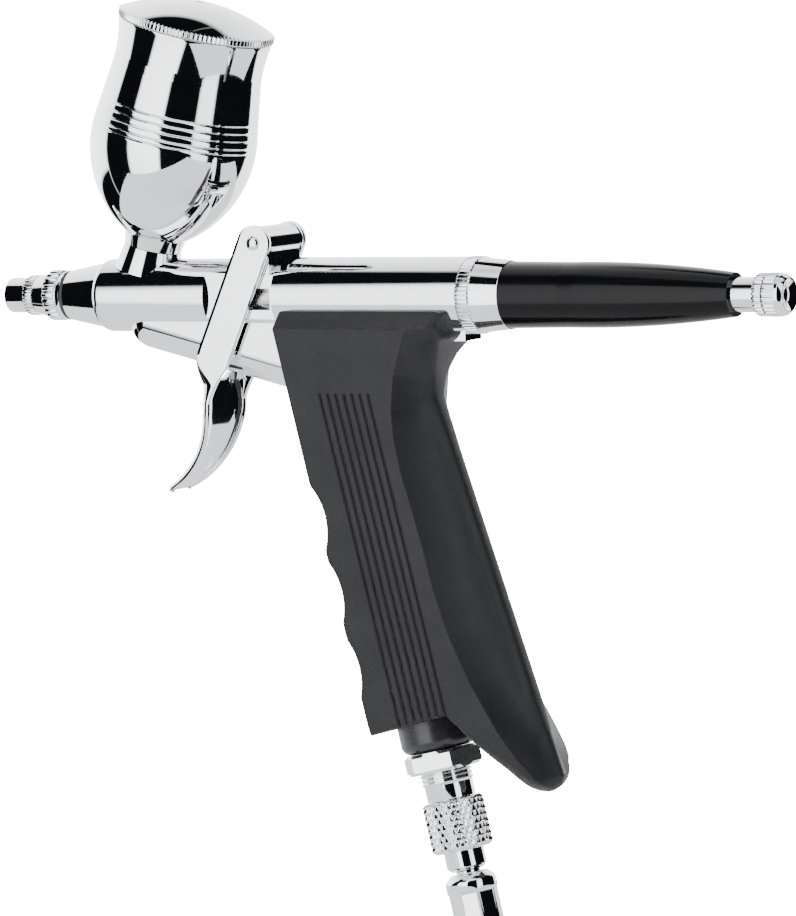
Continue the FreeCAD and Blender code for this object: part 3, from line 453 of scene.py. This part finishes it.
def build_lock_ring():
    start, end, radius = (v / MM for v in span("lock_ring", BARREL))
    points = softened(outline_of(
        (1.75, start), (radius, start, 0.3), (radius, end, 0.15), (1.75, end)), 0.05 * MM)
    knurl = straight_knurl(28, 0.28 * MM, 0.45, start * MM, end * MM, (radius - 0.5) * MM)
    adopt(spin("lock_ring_detail", BARREL, points, 252, knurl, 25), "lock_ring")


def build_preset_knob():
    start, end, radius = (v / MM for v in span("preset_knob", BARREL))
    band_end = end - 1.7
    points = softened(outline_of(
        (1.74, start), (radius, start, 0.15), (radius, band_end, 0.1), (radius - 0.12, band_end + 0.1, 0.1),
        (radius - 0.15, end - 0.9, 0.7), (3.1, end, 0.35), (2.7, end - 0.1, 0.2), (1.3, end - 0.75, 0.3),
        (0.0, end - 0.55), (0.0, start + 1.85), (1.74, start + 1.85)), 0.05 * MM, 5)
    knurl = straight_knurl(28, 0.28 * MM, 0.45, start * MM, band_end * MM, (radius - 0.2) * MM)
    adopt(spin("preset_knob_detail", BARREL, points, 252, knurl, 25), "preset_knob")


# ---------------------------------------------------------------- hose fitting
def build_hose_nut():
    start, end, radius = (v / MM for v in span("hose_nut", AIR))
    points = softened(outline_of(
        (4.07, start), (radius - 0.6, start, 0.2), (radius, start + 0.5, 0.3), (radius, end - 0.5, 0.3),
        (radius - 0.6, end, 0.2), (2.9, end), (2.9, end - 2.3), (3.8, end - 2.3), (3.8, start + 4.4),
        (4.07, start + 4.4)), 0.1 * MM)
    points = rows_between(points, (start + 0.4) * MM, (end - 0.4) * MM, 0.16 * MM)
    knurl = diamond_knurl(30, 0.42 * MM, 88.0, start * MM, end * MM, (radius - 0.7) * MM)
    adopt(spin("hose_nut_detail", AIR, points, 360, knurl, 25), "hose_nut")


def polygon_cut(corner_radius, sides, turn, low, high):
    """Flats cut round a bar: how far a radius stands outside the polygon."""
    apothem = corner_radius * math.cos(math.pi / sides)

    def relief(angle, station, radius):
        if not low <= station <= high:
            return 0.0
        step = 2 * math.pi / sides
        off = (angle - turn) % step - step / 2
        return max(0.0, radius - apothem / math.cos(off))
    return relief


def build_inlet():
    start, end, corner = (v / MM for v in span("inlet_fitting", AIR))
    hex_end, neck_at = start + 3.8, start + 6.3
    threads = []
    for k in range(3):
        at = hex_end + 0.15 + k * 0.75
        threads += [(4.5, at), (4.86, at + 0.28, 0.05), (4.86, at + 0.42, 0.05)]
    points = softened(outline_of(
        (3.2, start), (6.4, start, 0.1), (corner, start + 0.6, 0.15), (corner, hex_end - 0.6, 0.15),
        (6.4, hex_end, 0.1), (4.5, hex_end), *threads, (4.5, neck_at), (4.5, start + 9.2, 0.2),
        (4.0, start + 9.2), (4.0, end), (2.0, end), (2.0, start + 3.4), (3.2, start + 3.4)), 0.05 * MM)
    flats = polygon_cut(corner * MM, 6, math.radians(-11), (start - 0.1) * MM, (hex_end + 0.01) * MM)

    def relief(angle, station, radius):
        return flats(angle, station, radius) if radius > 6.0 * MM else 0.0
    adopt(spin("inlet_fitting_detail", AIR, points, 360, relief, 25), "inlet_fitting")


def build_ferrule():
    start, end, _ = (v / MM for v in span("ferrule", AIR))
    crimp = start + 3.0
    points = softened(outline_of(
        (2.35, start + 0.25, 0.2), (3.0, start, 0.2), (3.5, start, 0.5), (4.75, start + 1.3, 1.2),
        (4.75, crimp, 0.0), (4.74, crimp + 0.15, 0.0), (4.74, crimp + 0.7, 0.0), (4.74, end, 0.2),
        (4.1, end), (4.1, end - 5.4), (3.8, end - 5.4), (3.8, start + 1.5), (2.35, start + 1.5)), 0.1 * MM)
    flats = polygon_cut(4.62 * MM, 8, math.radians(4), 0, 1)

    def relief(angle, station, radius):
        if radius < 4.5 * MM or station < (crimp + 0.1) * MM:
            return 0.0
        depth = min(1.0, (station / MM - crimp - 0.1) / 0.55)
        return flats(angle, station, radius) * depth
    adopt(spin("ferrule_detail", AIR, points, 360, relief, 22), "ferrule")


# ---------------------------------------------------------------- trigger
def bulged(start, end, radius, steps):
    """Arc points from start to end with the far end included."""
    return arc(start, end, radius, steps) + [tuple(end)]


def at_height(curve, z):
    """x of a curve of (x, z) points that runs downwards, at a height."""
    for (x0, z0), (x1, z1) in zip(curve, curve[1:]):
        if z1 <= z <= z0:
            return x0 + (x1 - x0) * ((z0 - z) / (z0 - z1) if z0 > z1 else 0.0)
    return curve[0][0] if z > curve[0][1] else curve[-1][0]


def smooth(t):
    t = min(1.0, max(0.0, t))
    return t * t * (3 - 2 * t)


def build_trigger():
    """Sheet folded to a channel: flat arms above, rolled front corners and a curved web below."""
    pivot_x, pivot_z, arm = PIVOT.x / MM, PIVOT.z / MM, 3.3
    lean = math.radians(24.5)
    top_front = (pivot_x - arm * math.cos(lean), pivot_z + arm * math.sin(lean))
    top_back = (pivot_x + arm * math.cos(lean), pivot_z - arm * math.sin(lean))
    top = (pivot_x, pivot_z + arm - 0.001)
    front = bulged(top, top_front, arm, 12) + [(45.0, -9.6)]
    front += bulged((45.0, -9.6), (44.2, -15.5), 14.0, 8)[1:]
    front += bulged((44.2, -15.5), (34.6, -35.7), -19.5, 24)[1:] + [(34.7, -36.1)]
    back = bulged(top, top_back, -arm, 12) + [(50.6, -13.3)]
    back += bulged((50.6, -13.3), (46.6, -19.8), 16.0, 10)[1:]
    back += bulged((46.6, -19.8), (35.5, -36.6), -18.0, 20)[1:]
    heights = [top[1] - 0.02 - 0.6 * (1 - math.cos(k / 8 * math.pi / 2)) * 4 for k in range(9)]
    heights += [heights[-1] - 0.35 * (k + 1) for k in range(int((heights[-1] + 36.3) / 0.35))]
    heights.append(-36.35)
    side_points, corner_points, web_points = 10, 10, 14

    def section(z):
        """The folded channel's outer face cut level at a height, near rear edge to far rear edge."""
        x_front, x_back = at_height(front, z), at_height(back, z)
        half = 7.0 - max(0.0, (-22.0 - z) / 18.0) * 3.8
        corner = 3.4 * smooth((-11.0 - z) / 6.0) * (1 - 0.35 * smooth((-26 - z) / 10))
        corner = max(0.02, min(corner, half - 0.5))
        depth = min(corner, (x_back - x_front) * 0.85)
        near = [(x_back + (x_front + depth - x_back) * k / side_points, -half) for k in range(side_points)]
        for k in range(corner_points + 1):
            turn = math.pi / 2 * k / corner_points
            near.append((x_front + depth * (1 - math.sin(turn)), -half + corner * (1 - math.cos(turn))))
        inner = half - corner
        web = [(x_front, -inner + 2 * inner * k / web_points) for k in range(1, web_points)]
        return near + web + [(x, -y) for x, y in reversed(near)]

    width = 2 * (side_points + corner_points + 1) + web_points - 1
    bm = bmesh.new()
    rows = []
    for z in heights:
        row = []
        level = section(z)
        for k in range(width):
            inward = min(k, width - 1 - k) - side_points
            x, y, top_z = *level[k], z
            if inward > 0:
                rolled = min(1.0, inward / corner_points)
                middle = max(0.0, inward - corner_points) / (corner_points + web_points / 2)
                limit = -10.8 - 3.4 * rolled - 1.6 * math.sin(math.pi * min(0.5, middle * 2))
                if z > limit:
                    (x, y), top_z = section(limit)[k], limit
            row.append(bm.verts.new((x * MM, y * MM, top_z * MM)))
        rows.append(row)
    for upper, lower in zip(rows, rows[1:]):
        for k in range(width - 1):
            drops = [(upper[i].co - lower[i].co).length for i in (k, k + 1)]
            if max(drops) < 1e-8:
                continue
            across = (upper[k].co - upper[k + 1].co).length
            arm_gap = k == side_points or k == width - 2 - side_points
            if arm_gap and across > 1.0 * MM:
                continue
            bm.faces.new((upper[k], upper[k + 1], lower[k + 1], lower[k]))
    bmesh.ops.delete(bm, geom=[v for v in bm.verts if not v.link_faces], context="VERTS")
    obj = finish_mesh("trigger_detail", bm, None, 40)
    outward = sum(f.center.y * f.normal.y for f in obj.data.polygons)
    if outward < 0:
        obj.data.flip_normals()
    sheet = obj.modifiers.new("sheet", "SOLIDIFY")
    sheet.thickness, sheet.offset = 1.15 * MM, -1.0
    edges = obj.modifiers.new("edges", "BEVEL")
    edges.width, edges.segments, edges.limit_method = 0.14 * MM, 2, "ANGLE"
    edges.angle_limit = math.radians(45)
    adopt(obj, "trigger")


def build_pivot_pin():
    """Rivet with a domed head each side."""
    half = [(0.0, 7.64), (0.55, 7.60), (0.98, 7.45), (1.27, 7.24), (1.36, 7.07), (0.75, 7.06)]
    outline = half + [(r, -z) for r, z in reversed(half)]
    points = softened([(r * MM, z * MM) for r, z in outline], 0.05 * MM)
    axis = Matrix.Translation(PIVOT) @ Matrix.Rotation(-math.pi / 2, 4, "X")
    adopt(spin("pivot_pin_detail", axis, points, 48), "pivot_pin")


# ---------------------------------------------------------------- grip
GRIP_FRONT_TOP, GRIP_FRONT_BOTTOM = (62.2, -2.4), (80.5, -80.2)
# The finger hollows down the front, each as the heights of its two ends.
GRIP_HOLLOWS = ((-34.3, -46.2), (-48.4, -59.4), (-62.6, -73.0))
# The crease where the flat side turns into the scooped back, as (z, x).
GRIP_CREASE = ((-2.4, 92.6), (-5.6, 90.9), (-14.0, 88.4), (-20.3, 87.6), (-25.0, 87.9), (-31.3, 89.1),
               (-37.6, 91.0), (-45.4, 93.2), (-53.0, 95.1), (-61.4, 98.0), (-69.7, 102.0), (-74.6, 105.0),
               (-79.5, 108.0), (-85.0, 111.4), (-90.0, 113.0))
# Half thickness of the ridge down the back, as (z, y).
GRIP_RIDGE = ((-2.4, 9.8), (-5.5, 9.4), (-8.0, 7.4), (-11.0, 5.0), (-15.0, 3.4), (-20.0, 2.7), (-30.0, 2.4),
              (-75.0, 2.4), (-84.0, 1.7), (-90.0, 1.0))
GRIP_COLUMNS, GRIP_ROWS = 240, 330


def even_points(curve, count):
    """Points spaced evenly along a curve, ends included."""
    curve = np.array(curve, dtype=float)
    steps = np.concatenate([[0], np.cumsum(np.linalg.norm(np.diff(curve, axis=0), axis=1))])
    wanted = np.linspace(0, steps[-1], count)
    return np.stack([np.interp(wanted, steps, curve[:, i]) for i in (0, 1)], axis=1)


def grip_edges():
    """The four sides of the grip's outline: front, rear, top and bottom, each as (x, z) points."""
    slope = (GRIP_FRONT_BOTTOM[0] - GRIP_FRONT_TOP[0]) / (GRIP_FRONT_BOTTOM[1] - GRIP_FRONT_TOP[1])
    front = [GRIP_FRONT_TOP]
    for high, low in GRIP_HOLLOWS:
        ends = [(GRIP_FRONT_TOP[0] + slope * (z - GRIP_FRONT_TOP[1]), z) for z in (high, low)]
        front += bulged(ends[0], ends[1], -12.2, 16)
    front.append(GRIP_FRONT_BOTTOM)
    rear = [(96.4, -2.4), (96.4, -7.6)] + bulged((96.4, -7.6), (92.1, -18.5), 16.0, 14) + [(115.2, -87.6)]
    top = [GRIP_FRONT_TOP, (96.4, -2.4)]
    bottom = [GRIP_FRONT_BOTTOM, (96.4, -75.9), (99.4, -78.2)]
    bottom += bulged((109.0, -89.4), (115.2, -87.6), 3.6, 14)
    return (even_points(front, GRIP_ROWS), even_points(rear, GRIP_ROWS),
            even_points(top, GRIP_COLUMNS), even_points(bottom, GRIP_COLUMNS))


def grip_half_width(x, z, from_edge, rear):
    """Half thickness of the grip at each point of its side outline."""
    bevel = 6.3 + (-2.4 - z) * (10.5 - 6.3) / (5.5 - 2.4)
    crease = np.interp(-z, *np.array([(-a, b) for a, b in GRIP_CREASE]).T)
    ridge = np.interp(-z, *np.array([(-a, b) for a, b in GRIP_RIDGE]).T)
    back = np.interp(-z, -rear[:, 1], rear[:, 0])
    across = np.clip((x - crease) / np.maximum(back - crease, 0.5), 0, 1)
    scooped = ridge + (10.5 - ridge) * (1 - across) ** 1.75
    tip = np.clip((-76.5 - z) / 14.6, 0, 1)
    tail = 1.6 + 8.9 * np.sqrt(1 - tip ** 2)
    half = np.minimum(np.minimum(bevel, tail), scooped)

    along = -17.4 - z
    offset = x - 72.7 - math.tan(math.radians(13.3)) * along
    nearest = np.clip(np.round(offset / 1.7), 0, 6) * 1.7
    groove = np.clip(1.25 - np.abs(offset - nearest) / 0.32, 0, 1)
    groove *= np.clip(along / 0.3 + 0.5, 0, 1) * np.clip((crease - 0.6 - x) / 0.3, 0, 1)
    half = half - 0.45 * groove

    on_tail = np.clip((-79.0 - z) / 7.0, 0, 1) * np.clip((x - 97.0) / 4.0, 0, 1)
    rounding = 0.7 + 1.0 * np.clip((x - crease) / 2.0, 0, 1) + 4.0 * on_tail
    rounding = np.minimum(rounding, half * 0.95)
    inset = np.clip(rounding - from_edge, 0, None)
    return half - (rounding - np.sqrt(rounding ** 2 - np.minimum(inset, rounding) ** 2))


def build_grip():
    front, rear, top, bottom = grip_edges()
    u = np.linspace(0, 1, GRIP_COLUMNS)[None, :, None]
    t = np.linspace(0, 1, GRIP_ROWS)[:, None, None]
    patch = (1 - u) * front[:, None, :] + u * rear[:, None, :] + (1 - t) * top[None] + t * bottom[None]
    patch -= ((1 - u) * (1 - t) * top[0] + u * (1 - t) * top[-1] + (1 - u) * t * bottom[0]
              + u * t * bottom[-1])
    x, z = patch[..., 0], patch[..., 1]
    from_edge = np.full(x.shape, 1e9)
    for side in (front, rear, bottom):
        for start, end in zip(side[:-3:3], side[3::3]):
            chord = end - start
            reach = ((x - start[0]) * chord[0] + (z - start[1]) * chord[1]) / chord.dot(chord)
            reach = np.clip(reach, 0, 1)
            off = (x - start[0] - reach * chord[0]) ** 2 + (z - start[1] - reach * chord[1]) ** 2
            from_edge = np.minimum(from_edge, off)
    from_edge = np.sqrt(from_edge)
    from_edge[:, 0] = from_edge[:, -1] = from_edge[-1, :] = 0
    half = grip_half_width(x, z, from_edge, rear)
    count = x.size
    near = np.stack([x, -half, z], axis=-1).reshape(-1, 3)
    far = np.stack([x, half, z], axis=-1).reshape(-1, 3)
    number = np.arange(count).reshape(x.shape)
    quads = np.stack([number[:-1, :-1], number[1:, :-1], number[1:, 1:], number[:-1, 1:]], -1).reshape(-1, 4)
    loop = np.concatenate([number[0, :-1], number[:-1, -1], number[-1, :0:-1], number[:0:-1, 0]])
    wall = np.stack([loop, np.roll(loop, -1), np.roll(loop, -1) + count, loop + count], -1)
    faces = np.concatenate([quads, quads[:, ::-1] + count, wall])
    mesh = bpy.data.meshes.new("grip_detail")
    mesh.from_pydata((np.concatenate([near, far]) * MM).tolist(), [], faces.tolist())
    obj = bpy.data.objects.new("grip_detail", mesh)
    scene.collection.objects.link(obj)

    hole = softened(outline_of(
        (0, -6.0), (5.05, -6.0), (5.05, 30.0), (3.3, 30.0), (3.3, 78.5), (7.05, 78.5), (7.05, 96.0),
        (0, 96.0)), 0.0)
    seat = softened(outline_of((0, 55.0), (7.02, 55.0), (7.02, 105.0), (0, 105.0)), 0.0)
    for name, axis, outline in (("bore", AIR, hole), ("seat", BARREL, seat)):
        cutter = spin("grip_" + name, axis, outline, 96)
        carve = obj.modifiers.new(name, "BOOLEAN")
        carve.operation, carve.solver, carve.object = "DIFFERENCE", "EXACT", cutter
    carved = bpy.data.meshes.new_from_object(obj.evaluated_get(bpy.context.evaluated_depsgraph_get()))
    obj.modifiers.clear()
    obj.data = carved
    for cutter in [o for o in bpy.data.objects if o.name in ("grip_bore", "grip_seat")]:
        bpy.data.objects.remove(cutter)
    for face in carved.polygons:
        face.use_smooth = True
    carved.set_sharp_from_angle(angle=math.radians(32))
    adopt(obj, "grip")


for build in (build_needle_cap, build_nozzle_cap, build_cup, build_lid, build_rear_ring,
              build_lock_ring, build_preset_knob, build_hose_nut, build_inlet, build_ferrule,
              build_trigger, build_pivot_pin, build_grip):
    build()


# ---------------------------------------------------------------- studio
VIEW_AZIMUTH, VIEW_ELEVATION, VIEW_ROLL = 30.0, 5.0, 2.1
VIEW_DISTANCE = 1.2
AIM = Vector((0.080, 0, -0.030))
PIXELS_PER_METRE = 5450.0
LONG_SIDE = 916
AIM_SIDE_STEP = 0.00241
# Dark cards around the studio: from bearing, to bearing (degrees, 0 is the camera side, +X is 90),
# from height, to height (sine of the elevation).
DARK_CARDS = (
    (-75, -35, -0.6, 0.86), (-36, -5, 0.56, 0.86), (10, 56, -0.8, 0.7), (80, 156, -0.8, 0.85),
    (130, 181, 0.8, 1.1), (-181, -130, 0.8, 1.1), (-130, -74, -0.9, -0.25),
)
# Brightness that the floor and the background show to the camera itself.
SHOWN_WHITE = 22.0


def make_world():
    """White studio with dark cards that shade and reflect.  The camera itself sees plain white."""
    world = bpy.data.worlds.new("studio")
    scene.world = world
    world.use_nodes = True
    nodes, links = world.node_tree.nodes, world.node_tree.links
    place = nodes.new("ShaderNodeTexCoord")
    split = nodes.new("ShaderNodeSeparateXYZ")
    links.new(place.outputs["Generated"], split.inputs["Vector"])

    def math_node(kind, *values):
        node = nodes.new("ShaderNodeMath")
        node.operation = kind
        for socket, value in zip(node.inputs, values):
            if isinstance(value, (int, float)):
                socket.default_value = value
            else:
                links.new(value, socket)
        return node.outputs[0]

    def card(value, low, high, soft=0.01):
        """1 inside a range of the value, falling to 0 over a soft edge."""
        rise = math_node("MULTIPLY_ADD", value, 1 / soft, 0.5 - low / soft)
        fall = math_node("MULTIPLY_ADD", value, -1 / soft, 0.5 + high / soft)
        rise.node.use_clamp = fall.node.use_clamp = True
        return math_node("MULTIPLY", rise, fall)

    bearing = math_node("ARCTAN2", split.outputs["X"], math_node("MULTIPLY", split.outputs["Y"], -1.0))
    height = split.outputs["Z"]
    dark = None
    for low_bearing, high_bearing, low_height, high_height in DARK_CARDS:
        shade = math_node("MULTIPLY",
                          card(bearing, math.radians(low_bearing), math.radians(high_bearing), 0.07),
                          card(height, low_height, high_height, 0.05))
        dark = shade if dark is None else math_node("MAXIMUM", dark, shade)
    fade = math_node("MULTIPLY_ADD", math_node("MULTIPLY", height, height), -2.6, 4.0)
    sweep = math_node("MULTIPLY_ADD", math_node("COSINE", math_node("MULTIPLY", bearing, 3.0)), 0.14, 0.92)
    white = nodes.new("ShaderNodeCombineColor")
    level = math_node("MULTIPLY", fade, sweep)
    links.new(level, white.inputs["Red"])
    links.new(level, white.inputs["Green"])
    links.new(math_node("MULTIPLY", level, 1.02), white.inputs["Blue"])
    mix = nodes.new("ShaderNodeMix")
    mix.data_type = "RGBA"
    links.new(white.outputs["Color"], mix.inputs["A"])
    mix.inputs["B"].default_value = (0.006, 0.006, 0.008, 1)
    links.new(dark, mix.inputs["Factor"])
    seen = nodes.new("ShaderNodeLightPath")
    shown = nodes.new("ShaderNodeMix")
    shown.data_type = "RGBA"
    shown.inputs["B"].default_value = (SHOWN_WHITE, SHOWN_WHITE, SHOWN_WHITE, 1)
    links.new(seen.outputs["Is Camera Ray"], shown.inputs["Factor"])
    links.new(mix.outputs["Result"], shown.inputs["A"])
    links.new(shown.outputs["Result"], nodes["Background"].inputs["Color"])
    nodes["Background"].inputs["Strength"].default_value = 1.0


def make_floor(level):
    """Pale floor, which glows plain white where the camera sees it directly."""
    bpy.ops.mesh.primitive_plane_add(size=0.5, location=(AIM.x, AIM.y, level))
    floor = bpy.context.object
    floor.name = "floor"
    material = new_material("floor_white", (0.86, 0.86, 0.86), roughness=0.6)
    drive_colour(material, add_noise(material, 4.0), (0.85, 0.85, 0.85), (0.87, 0.87, 0.87))
    nodes, links = material.node_tree.nodes, material.node_tree.links
    seen = nodes.new("ShaderNodeLightPath")
    glow = nodes.new("ShaderNodeMath")
    glow.operation = "MULTIPLY"
    glow.inputs[1].default_value = SHOWN_WHITE
    links.new(seen.outputs["Is Camera Ray"], glow.inputs[0])
    shader = nodes["Principled BSDF"]
    shader.inputs["Emission Color"].default_value = (1, 1, 1, 1)
    links.new(glow.outputs[0], shader.inputs["Emission Strength"])
    floor.data.materials.append(material)


def area_light(name, at, aim, width, height, power, colour=(1, 1, 1)):
    data = bpy.data.lights.new(name, "AREA")
    data.shape = "RECTANGLE"
    data.size, data.size_y = width, height
    data.energy = power
    data.color = colour
    lamp = bpy.data.objects.new(name, data)
    scene.collection.objects.link(lamp)
    lamp.location = at
    lamp.visible_glossy = False
    lamp.rotation_euler = (Vector(at) - Vector(aim)).to_track_quat("Z", "Y").to_euler()
    return lamp


def make_camera():
    azimuth, elevation, roll = (math.radians(v) for v in (VIEW_AZIMUTH, VIEW_ELEVATION, VIEW_ROLL))
    back = Vector((math.sin(azimuth) * math.cos(elevation), -math.cos(azimuth) * math.cos(elevation),
                   math.sin(elevation)))
    level = Vector((math.cos(azimuth), math.sin(azimuth), 0))
    rise = back.cross(level)
    right = level * math.cos(roll) - rise * math.sin(roll)
    up = level * math.sin(roll) + rise * math.cos(roll)
    data = bpy.data.cameras.new("camera")
    data.sensor_width = 36.0
    data.lens = data.sensor_width * PIXELS_PER_METRE * VIEW_DISTANCE / LONG_SIDE
    data.clip_start, data.clip_end = 0.05, 50.0
    camera = bpy.data.objects.new("camera", data)
    scene.collection.objects.link(camera)
    camera.location = AIM + right * AIM_SIDE_STEP + back * VIEW_DISTANCE
    camera.rotation_mode = "QUATERNION"
    camera.rotation_quaternion = Matrix((right, up, back)).transposed().to_quaternion()
    scene.camera = camera


make_world()
make_floor(CAD_BOX[0].z - 0.0004)
make_camera()
area_light("key", (-0.6, -0.9, 1.0), AIM, 0.9, 0.9, 8)
area_light("fill", (1.3, -0.8, 0.4), AIM, 0.8, 1.0, 5)
area_light("back", (0.2, 1.2, 0.9), AIM, 1.2, 0.6, 6)
